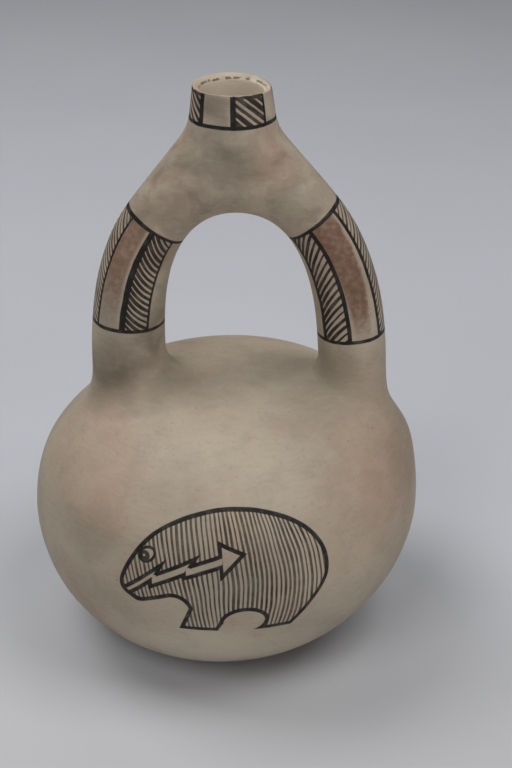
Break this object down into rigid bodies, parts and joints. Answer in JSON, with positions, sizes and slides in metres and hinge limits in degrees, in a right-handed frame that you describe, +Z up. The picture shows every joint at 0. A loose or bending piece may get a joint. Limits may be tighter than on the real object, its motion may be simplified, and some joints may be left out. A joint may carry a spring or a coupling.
{
  "type": "stirrup spout vessel",
  "caption": "Hollow round pot of pale painted clay with an arched tube handle that ends in one short spout.",
  "frame": {"origin": "middle of the flat base, on the surface that the vessel stands on", "axes": "+Z up, +X to the right along the stirrup, -Y towards the front"},
  "size_m": [0.1231, 0.1232, 0.1802],
  "materials": {
    "painted_clay": "burnished cream slip with brown-black and rose-brown paint, unglazed"
  },
  "bodies": {
    "root": {"vessel": "painted_clay"}
  },
  "joints": []
}
